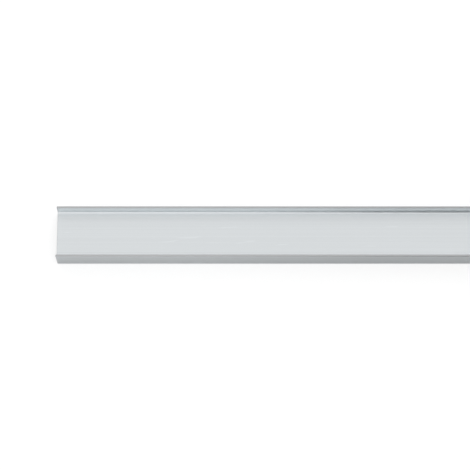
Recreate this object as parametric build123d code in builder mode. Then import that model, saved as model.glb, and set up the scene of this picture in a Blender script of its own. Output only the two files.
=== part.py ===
"""H profile of aluminium stock: one extruded length with two parallel flanges joined by a web.

The profile lies the way it comes to rest on a level floor: the web is level, halfway up, and the two
flanges stand on their lower edges. X runs along the stock, Y across the flanges and Z is up. The origin
is at the middle of the footprint, on the floor. All sizes are in millimetres.
"""

import os

from build123d import *

# Driving dimensions
LENGTH = 1000.0  # one stock length, end to end
PROFILE_HEIGHT = 48.0  # over the outer faces of the two flanges
FLANGE_WIDTH = 25.0  # from edge to edge of one flange
FLANGE_WALL = 2.0
WEB_WALL = 2.0
ROOT_RADIUS = 2.0  # where the web runs into a flange
EDGE_RADIUS = 0.8  # on the long corners of the flange edges, which leaves a narrow flat to lie on
DEBURR = 0.2  # chamfer filed round both sawn ends

# The section stands across the stock, with its centre half a flange above the floor
section_plane = Plane(
    origin=(0, 0, FLANGE_WIDTH / 2), x_dir=(0, 1, 0), z_dir=(1, 0, 0)
)
flange_spacing = PROFILE_HEIGHT - FLANGE_WALL  # between the middles of the flanges

with BuildPart() as h_profile:
    with BuildSketch(section_plane) as section:
        # The web reaches to the middle of each flange, so the three plates are one outline
        Rectangle(flange_spacing, WEB_WALL)
        with GridLocations(flange_spacing, 0, 2, 1):
            Rectangle(FLANGE_WALL, FLANGE_WIDTH)

        # Corners by level: the flange edges are the first and last, and the web's roots lie between
        levels = section.vertices().group_by(Axis.Y)
        fillet(levels[1] + levels[2], radius=ROOT_RADIUS)
        # A fillet makes new corners, so the flange edges are picked from the section as it is now
        levels = section.vertices().group_by(Axis.Y)
        fillet(levels[0] + levels[-1], radius=EDGE_RADIUS)

    extrude(amount=LENGTH / 2, both=True)

    # Both saw cuts are square to the stock, with the burr taken off all round
    sawn_ends = h_profile.faces().filter_by(Axis.X)
    chamfer(sawn_ends.edges(), length=DEBURR)

h_profile.part.label = "h_profile"

os.makedirs("parts", exist_ok=True)
export_step(h_profile.part, "parts/h_profile.step")
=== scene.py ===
"""Looks of the aluminium H profile: its anodised skin and sawn ends, a pale floor and soft studio light.

Metres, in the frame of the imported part: X along the stock, Y across the flanges, Z up, floor at Z = 0.
The stock is one piece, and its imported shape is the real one, so its mesh stays and gets a material.
"""

import math

import bpy
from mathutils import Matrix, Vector


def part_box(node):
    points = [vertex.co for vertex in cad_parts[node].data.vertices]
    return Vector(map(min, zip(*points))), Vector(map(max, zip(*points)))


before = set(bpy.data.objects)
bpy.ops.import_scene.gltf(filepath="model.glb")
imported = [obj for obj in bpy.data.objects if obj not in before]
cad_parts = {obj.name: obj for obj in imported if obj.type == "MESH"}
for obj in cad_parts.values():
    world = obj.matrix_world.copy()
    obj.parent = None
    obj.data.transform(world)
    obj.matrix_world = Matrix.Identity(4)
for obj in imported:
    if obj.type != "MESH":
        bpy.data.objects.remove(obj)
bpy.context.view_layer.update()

MM = 0.001
MICRON = 0.000001

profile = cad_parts["h_profile"]
low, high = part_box("h_profile")
length, profile_height, flange_width = high - low
web_level = flange_width / 2


def linear(hex_colour):
    """The linear colour of an sRGB hex value, such as "#C8CCD0"."""
    shares = [int(hex_colour[i : i + 2], 16) / 255 for i in (1, 3, 5)]
    return tuple(s / 12.92 if s <= 0.04045 else ((s + 0.055) / 1.055) ** 2.4 for s in shares) + (1.0,)


def add(tree, kind, inputs=None, **settings):
    """Adds one node. An input is a number, a colour, an output, or a node, meaning its first output."""
    node = tree.nodes.new(kind)
    for name, value in settings.items():
        setattr(node, name, value)
    for name, value in (inputs or {}).items():
        if isinstance(value, bpy.types.Node):
            value = value.outputs[0]
        if isinstance(value, bpy.types.NodeSocket):
            tree.links.new(value, node.inputs[name])
        else:
            node.inputs[name].default_value = value
    return node


# Camera
# The photo's frame is 470 pixels square, and the stock's upper left corners stand 57 pixels in
FRAME_PX = 470
LEFT_END_PX = 57.2
SCALE_PX_PER_MM = 1.088
FOCAL_PX = 2000
TILT = math.radians(16.5)  # off the upright, towards the near flange
SENSOR_WIDTH = 36.0


def make_camera():
    """Looks down on the stock as it lies, from the side of its near flange."""
    distance = FOCAL_PX / SCALE_PX_PER_MM * MM
    from_left_end = (FRAME_PX / 2 - LEFT_END_PX) / SCALE_PX_PER_MM * MM
    target = Vector((low.x + from_left_end, 0, web_level))
    data = bpy.data.cameras.new("camera")
    data.sensor_width = SENSOR_WIDTH
    data.lens = FOCAL_PX / FRAME_PX * SENSOR_WIDTH
    camera = bpy.data.objects.new("camera", data)
    camera.location = target + Vector((0, -math.sin(TILT), math.cos(TILT))) * distance
    camera.rotation_euler = (TILT, 0, 0)
    bpy.context.scene.collection.objects.link(camera)
    bpy.context.scene.camera = camera


# Anodised aluminium
# Aluminium pushed through a die, etched matt and clear anodised: a cool pale silver that blurs what it
# mirrors, with fine lines along the stock where the die drew it
ANODISED = linear("#E3E7E9")
ANODISED_ROUGHNESS = 0.36

# Die lines run far along the stock. The real ones are 0.1 to 0.3 mm apart, too fine to show in the
# render, so they are drawn coarser
DIE_LINE_RUN = 700 * MM
DIE_LINE_PITCH = 1.3 * MM
DIE_LINE_DEPTH = 5 * MICRON
DIE_LINE_TONE = 0.05

# The etched grain is about 0.05 mm wide, and is drawn coarser so that it shows close up
GRAIN = 0.45 * MM
GRAIN_DEPTH = 3 * MICRON
GRAIN_TONE = 0.03

# The anodising bath leaves broad soft changes of tone and gloss
CLOUD_RUN = 360 * MM
CLOUD_WIDTH = 90 * MM
CLOUD_TONE = 0.03
CLOUD_ROUGHNESS = 0.06

# The rounded flange edges get a painted shade: darker, greyer lines in place of their dark reflection.
# They are also made duller
EDGE_SHADE_COLOUR = linear("#BDBEBF")
EDGE_ROUGHNESS = 0.10  # more than the faces have
EDGE_SHADE_FROM = 0.9 * MM  # the painted edge shade starts this far down from the tip
EDGE_SHADE_FULL = 0.3 * MM

# Handling has left a few faint rubs, almost in line with the stock
RUB_LENGTH = 45 * MM
RUB_WIDTH = 2.5 * MM
RUB_SLANT = math.radians(4)
RUB_FROM = 0.68  # of the noise that they are cut from, where a higher value leaves fewer of them
RUB_FULL = 0.74
RUB_TONE = 0.05
RUB_ROUGHNESS = 0.08

# The saw cut goes through the anodising and leaves a rough grey face with the arcs of its teeth
SAWN = linear("#B2B3B4")
SAWN_ROUGHNESS = 0.5
SAWN_DEPTH = 0.18 * MM  # takes in the cut and the chamfer filed round it
BLADE_RADIUS = 125 * MM
TOOTH_PITCH = 0.7 * MM
TOOTH_DEPTH = 8 * MICRON
TOOTH_TONE = 0.18
BLADE_SHAKE = 0.8 * MM  # how far an arc strays
BLADE_SHAKE_RUN = 4 * MM


def anodised_aluminium():
    """Satin anodised skin, flange edges with a painted shade, and sawn ends, told apart by their place on
    the stock.
    """
    material = bpy.data.materials.new("anodised_aluminium")
    material.use_nodes = True
    tree = material.node_tree
    shader = tree.nodes["Principled BSDF"]
    shader.inputs["Metallic"].default_value = 1.0
    place = add(tree, "ShaderNodeTexCoord").outputs["Object"]
    axes = add(tree, "ShaderNodeSeparateXYZ", {0: place}).outputs

    def patches(along, across, slant=0.0):
        """Noise from 0 to 1 in patches of a real size, along the stock and across it."""
        sizes = {"Vector": place, "Rotation": (0, slant, slant), "Scale": (along, across, across)}
        sized = add(tree, "ShaderNodeMapping", sizes, vector_type="TEXTURE")
        return add(tree, "ShaderNodeTexNoise", {"Vector": sized, "Scale": 1.0})

    # Where the flange edges get their painted shade and where the skin is sawn through
    off_web = add(tree, "ShaderNodeMath", {0: axes["Z"], 1: web_level}, operation="SUBTRACT")
    off_web = add(tree, "ShaderNodeMath", {0: off_web}, operation="ABSOLUTE")
    tip = flange_width / 2
    edge_band = {0: off_web, 1: tip - EDGE_SHADE_FROM, 2: tip - EDGE_SHADE_FULL}
    edge_shade_and_dullness = add(tree, "ShaderNodeMapRange", edge_band, interpolation_type="SMOOTHSTEP")
    off_middle = add(tree, "ShaderNodeMath", {0: axes["X"]}, operation="ABSOLUTE")
    cut = {0: off_middle, 1: length / 2 - SAWN_DEPTH}
    sawn = add(tree, "ShaderNodeMath", cut, operation="GREATER_THAN")

    # Patterns of the skin
    die_lines = patches(DIE_LINE_RUN, DIE_LINE_PITCH)
    grain = patches(GRAIN, GRAIN)
    clouds = patches(CLOUD_RUN, CLOUD_WIDTH)
    rubs = {0: patches(RUB_LENGTH, RUB_WIDTH, RUB_SLANT), 1: RUB_FROM, 2: RUB_FULL}
    rubs = add(tree, "ShaderNodeMapRange", rubs)

    # Tooth marks of the saw: arcs round a blade that stood beside the stock
    across = add(tree, "ShaderNodeVectorMath", {0: place, 1: (0, 1, 1)}, operation="MULTIPLY")
    blade_centre = (0, BLADE_RADIUS, web_level)
    arm = add(tree, "ShaderNodeVectorMath", {0: across, 1: blade_centre}, operation="SUBTRACT")
    reach = add(tree, "ShaderNodeVectorMath", {0: arm}, operation="LENGTH").outputs["Value"]
    shaken = {0: patches(BLADE_SHAKE_RUN, BLADE_SHAKE_RUN), 1: BLADE_SHAKE, 2: reach}
    shaken = add(tree, "ShaderNodeMath", shaken, operation="MULTIPLY_ADD")
    turns = add(tree, "ShaderNodeMath", {0: shaken, 1: math.tau / TOOTH_PITCH}, operation="MULTIPLY")
    teeth = add(tree, "ShaderNodeMath", {0: turns}, operation="SINE")
    teeth = add(tree, "ShaderNodeMath", {0: teeth, 1: 0.5, 2: 0.5}, operation="MULTIPLY_ADD")

    # Tone: the patterns lighten and darken the colour a little round 1
    plain = 1 - DIE_LINE_TONE - GRAIN_TONE - CLOUD_TONE
    tone = {0: die_lines, 1: 2 * DIE_LINE_TONE, 2: plain}
    tone = add(tree, "ShaderNodeMath", tone, operation="MULTIPLY_ADD")
    tone = add(tree, "ShaderNodeMath", {0: grain, 1: 2 * GRAIN_TONE, 2: tone}, operation="MULTIPLY_ADD")
    tone = add(tree, "ShaderNodeMath", {0: clouds, 1: 2 * CLOUD_TONE, 2: tone}, operation="MULTIPLY_ADD")
    tone = add(tree, "ShaderNodeMath", {0: rubs, 1: RUB_TONE, 2: tone}, operation="MULTIPLY_ADD")
    cut_tone = {0: teeth, 1: TOOTH_TONE, 2: 1 - TOOTH_TONE}
    cut_tone = add(tree, "ShaderNodeMath", cut_tone, operation="MULTIPLY_ADD")
    tone = add(tree, "ShaderNodeMix", {"Factor": sawn, "A": tone, "B": cut_tone})

    # Colour: inputs 6 and 7 and output 2 are the Mix node's colours
    # The flange edges are mixed towards the painted edge shade
    skin = add(tree, "ShaderNodeMix", {0: edge_shade_and_dullness, 6: ANODISED, 7: EDGE_SHADE_COLOUR}, data_type="RGBA").outputs[2]
    metal = add(tree, "ShaderNodeMix", {0: sawn, 6: skin, 7: SAWN}, data_type="RGBA").outputs[2]
    colour = add(tree, "ShaderNodeVectorMath", {0: metal, "Scale": tone}, operation="SCALE")
    tree.links.new(colour.outputs[0], shader.inputs["Base Color"])

    # Roughness: duller on the flange edges and where rubbed, and dullest on the cut
    mean = ANODISED_ROUGHNESS - CLOUD_ROUGHNESS / 2
    rough = add(tree, "ShaderNodeMath", {0: clouds, 1: CLOUD_ROUGHNESS, 2: mean}, operation="MULTIPLY_ADD")
    rough = add(tree, "ShaderNodeMath", {0: edge_shade_and_dullness, 1: EDGE_ROUGHNESS, 2: rough}, operation="MULTIPLY_ADD")
    rough = add(tree, "ShaderNodeMath", {0: rubs, 1: RUB_ROUGHNESS, 2: rough}, operation="MULTIPLY_ADD")
    rough = add(tree, "ShaderNodeMix", {"Factor": sawn, "A": rough, "B": SAWN_ROUGHNESS})
    tree.links.new(rough.outputs[0], shader.inputs["Roughness"])

    # Relief, as heights in metres
    relief = add(tree, "ShaderNodeMath", {0: die_lines, 1: DIE_LINE_DEPTH}, operation="MULTIPLY")
    relief = add(tree, "ShaderNodeMath", {0: grain, 1: GRAIN_DEPTH, 2: relief}, operation="MULTIPLY_ADD")
    arcs = add(tree, "ShaderNodeMath", {0: teeth, 1: TOOTH_DEPTH}, operation="MULTIPLY")
    relief = add(tree, "ShaderNodeMix", {"Factor": sawn, "A": relief, "B": arcs})
    bump = add(tree, "ShaderNodeBump", {"Height": relief, "Distance": 1.0})
    tree.links.new(bump.outputs[0], shader.inputs["Normal"])
    return material


# Dark card
# It stands on the near side, in front of the middle of the stock, and only reflections see it
CARD_AWAY = 220 * MM  # from the middle of the web
CARD_MIDDLE_HEIGHT = 120 * MM
CARD_LENGTH = 620 * MM
CARD_HEIGHT = 210 * MM
CARD_BLACK = 330 * MM  # length of its black middle, from which it pales to both ends
CARD_END_LEVEL = 0.9  # about as bright as the sky behind it


def dark_card():
    """Black in the middle, and as pale as the sky at both ends, so that its mirror image has no ends."""
    material = bpy.data.materials.new("dark_card")
    material.use_nodes = True
    tree = material.node_tree
    tree.nodes.clear()
    place = add(tree, "ShaderNodeTexCoord").outputs["Object"]
    folded = add(tree, "ShaderNodeVectorMath", {0: place}, operation="ABSOLUTE")
    off_middle = add(tree, "ShaderNodeSeparateXYZ", {0: folded}).outputs["X"]
    level = {0: off_middle, 1: CARD_BLACK / 2, 2: CARD_LENGTH / 2, 4: CARD_END_LEVEL}
    level = add(tree, "ShaderNodeMapRange", level)
    glow = add(tree, "ShaderNodeEmission", {"Strength": level})
    add(tree, "ShaderNodeOutputMaterial", {"Surface": glow})
    material.cycles.emission_sampling = "NONE"
    return material


def make_dark_card():
    """A card beside the metal, as photographers use to draw its edges.

    The root of the far flange mirrors it as a thin line, which darkens towards the middle of the stock.
    """
    bpy.ops.object.select_all(action="DESELECT")
    middle = (0, -CARD_AWAY, CARD_MIDDLE_HEIGHT)
    upright = (math.radians(90), 0, 0)
    bpy.ops.mesh.primitive_plane_add(size=1, location=middle, rotation=upright)
    card = bpy.context.object
    card.name = "dark_card"
    card.scale = (CARD_LENGTH, CARD_HEIGHT, 1)
    bpy.ops.object.transform_apply(location=True, rotation=True, scale=True)
    card.data.materials.append(dark_card())
    card.visible_camera = card.visible_diffuse = card.visible_shadow = False
    card.visible_transmission = card.visible_volume_scatter = False


# Floor
PAPER = linear("#B8B8B8")
PAPER_GLOW = 0.63  # with the light that falls on it, this makes the paper white
FLOOR_SIZE = 200.0
FOOT_SHADE = 0.26  # painted shade: share of the glow that metal mirrors from right beside the stock
FOOT_SHADE_REACH = 90 * MM
CARD_SHADE = 0.72  # share of it left by the dark card's painted shade, on its own side of the stock
CARD_SHADE_EDGE = 100 * MM  # how far this shade fades to each side of the card's ends


def studio_paper():
    """Matt white paper: it takes the stock's soft shadow, and glows up to white where it is seen.

    Metal mirrors that white too, but less of it beside the stock and in front of the dark card, a painted
    shade that only reflections see.
    """
    material = bpy.data.materials.new("studio_paper")
    material.use_nodes = True
    tree = material.node_tree
    shader = tree.nodes["Principled BSDF"]
    shader.inputs["Base Color"].default_value = PAPER
    shader.inputs["Roughness"].default_value = 1.0
    shader.inputs["Specular IOR Level"].default_value = 0.0
    shader.inputs["Emission Color"].default_value = linear("#FFFFFF")

    # How far a point lies outside the stock's footprint
    place = add(tree, "ShaderNodeTexCoord").outputs["Object"]
    folded = add(tree, "ShaderNodeVectorMath", {0: place}, operation="ABSOLUTE")
    footprint = (length / 2, profile_height / 2, 0)
    outside = add(tree, "ShaderNodeVectorMath", {0: folded, 1: footprint}, operation="SUBTRACT")
    outside = add(tree, "ShaderNodeVectorMath", {0: outside, 1: (0, 0, 0)}, operation="MAXIMUM")
    away = add(tree, "ShaderNodeVectorMath", {0: outside}, operation="LENGTH").outputs["Value"]
    shade = add(tree, "ShaderNodeMapRange", {0: away, 2: FOOT_SHADE_REACH, 3: FOOT_SHADE})

    # The dark card's painted shade, which ends under the stock
    off_middle = add(tree, "ShaderNodeSeparateXYZ", {0: folded}).outputs["X"]
    ends = (CARD_LENGTH / 2 - CARD_SHADE_EDGE, CARD_LENGTH / 2 + CARD_SHADE_EDGE)
    card_shade = {0: off_middle, 1: ends[0], 2: ends[1], 3: CARD_SHADE}
    card_shade = add(tree, "ShaderNodeMapRange", card_shade)
    across = add(tree, "ShaderNodeSeparateXYZ", {0: place}).outputs["Y"]
    card_shade = {0: across, 1: -profile_height / 2, 2: profile_height / 2, 3: card_shade}
    card_shade = add(tree, "ShaderNodeMapRange", card_shade)
    shade = add(tree, "ShaderNodeMath", {0: shade, 1: card_shade}, operation="MULTIPLY")

    # Glossy rays see the glow darkened by this painted shade
    path = add(tree, "ShaderNodeLightPath").outputs
    mirrored = add(tree, "ShaderNodeMath", {0: path["Is Glossy Ray"], 1: shade}, operation="MULTIPLY")
    seen = {0: path["Is Camera Ray"], 1: path["Is Transmission Ray"]}
    seen = add(tree, "ShaderNodeMath", seen, operation="MAXIMUM")
    seen = add(tree, "ShaderNodeMath", {0: seen, 1: mirrored}, operation="MAXIMUM")
    glow = add(tree, "ShaderNodeMath", {0: seen, 1: PAPER_GLOW}, operation="MULTIPLY")
    tree.links.new(glow.outputs[0], shader.inputs["Emission Strength"])
    material.cycles.emission_sampling = "NONE"
    return material


def make_floor():
    """Wide enough to meet the horizon in every view."""
    bpy.ops.object.select_all(action="DESELECT")
    bpy.ops.mesh.primitive_plane_add(size=FLOOR_SIZE, location=(0, 0, 0))
    floor = bpy.context.object
    floor.name = "floor"
    floor.data.materials.append(studio_paper())


# Light
# Strengths, where 1 is white, and the two soft lights add theirs to the sky's
HORIZON = 1.0  # as white as the floor, so that no line shows between them
LOW_SKY = 0.70
LOW_SKY_AT = math.sin(math.radians(8))
ZENITH = 0.87
NEAR_LIGHT = 0.40
NEAR_LIGHT_TILT = math.radians(-40)  # off the upright, where a minus means towards the near side
FAR_LIGHT = 0.68
FAR_LIGHT_TILT = math.radians(55)
SOFT_LIGHT_OUTER = math.radians(30)  # each light fades to nothing this far from its middle
SOFT_LIGHT_INNER = math.radians(10)


def make_world():
    """A sky that is white at the horizon, greyer just above it and paler overhead, with two soft lights.

    One stands on each side of the stock. The far flange hides the far light from the web beside it, so
    the web darkens a little towards that flange.
    """
    world = bpy.data.worlds.new("studio")
    world.use_nodes = True
    world.cycles.sampling_method = "NONE"
    bpy.context.scene.world = world
    tree = world.node_tree
    where = add(tree, "ShaderNodeTexCoord").outputs["Generated"]
    up = add(tree, "ShaderNodeSeparateXYZ", {0: where}).outputs["Z"]
    base = add(tree, "ShaderNodeMapRange", {0: up, 2: LOW_SKY_AT, 3: HORIZON, 4: LOW_SKY})
    rise = add(tree, "ShaderNodeMapRange", {0: up, 1: LOW_SKY_AT, 4: ZENITH - LOW_SKY})
    light = add(tree, "ShaderNodeMath", {0: base, 1: rise}, operation="ADD")
    edges = {1: math.cos(SOFT_LIGHT_OUTER), 2: math.cos(SOFT_LIGHT_INNER)}
    for strength, tilt in ((NEAR_LIGHT, NEAR_LIGHT_TILT), (FAR_LIGHT, FAR_LIGHT_TILT)):
        middle = (0, math.sin(tilt), math.cos(tilt))
        facing = add(tree, "ShaderNodeVectorMath", {0: where, 1: middle}, operation="DOT_PRODUCT")
        patch = {0: facing.outputs["Value"], 4: strength, **edges}
        patch = add(tree, "ShaderNodeMapRange", patch, interpolation_type="SMOOTHSTEP")
        light = add(tree, "ShaderNodeMath", {0: light, 1: patch}, operation="ADD")
    background = tree.nodes["Background"]
    background.inputs["Color"].default_value = linear("#FFFFFF")
    tree.links.new(light.outputs[0], background.inputs["Strength"])


make_camera()
make_world()
make_floor()
make_dark_card()
profile.data.materials.clear()
profile.data.materials.append(anodised_aluminium())

bpy.context.scene.view_settings.view_transform = "Standard"
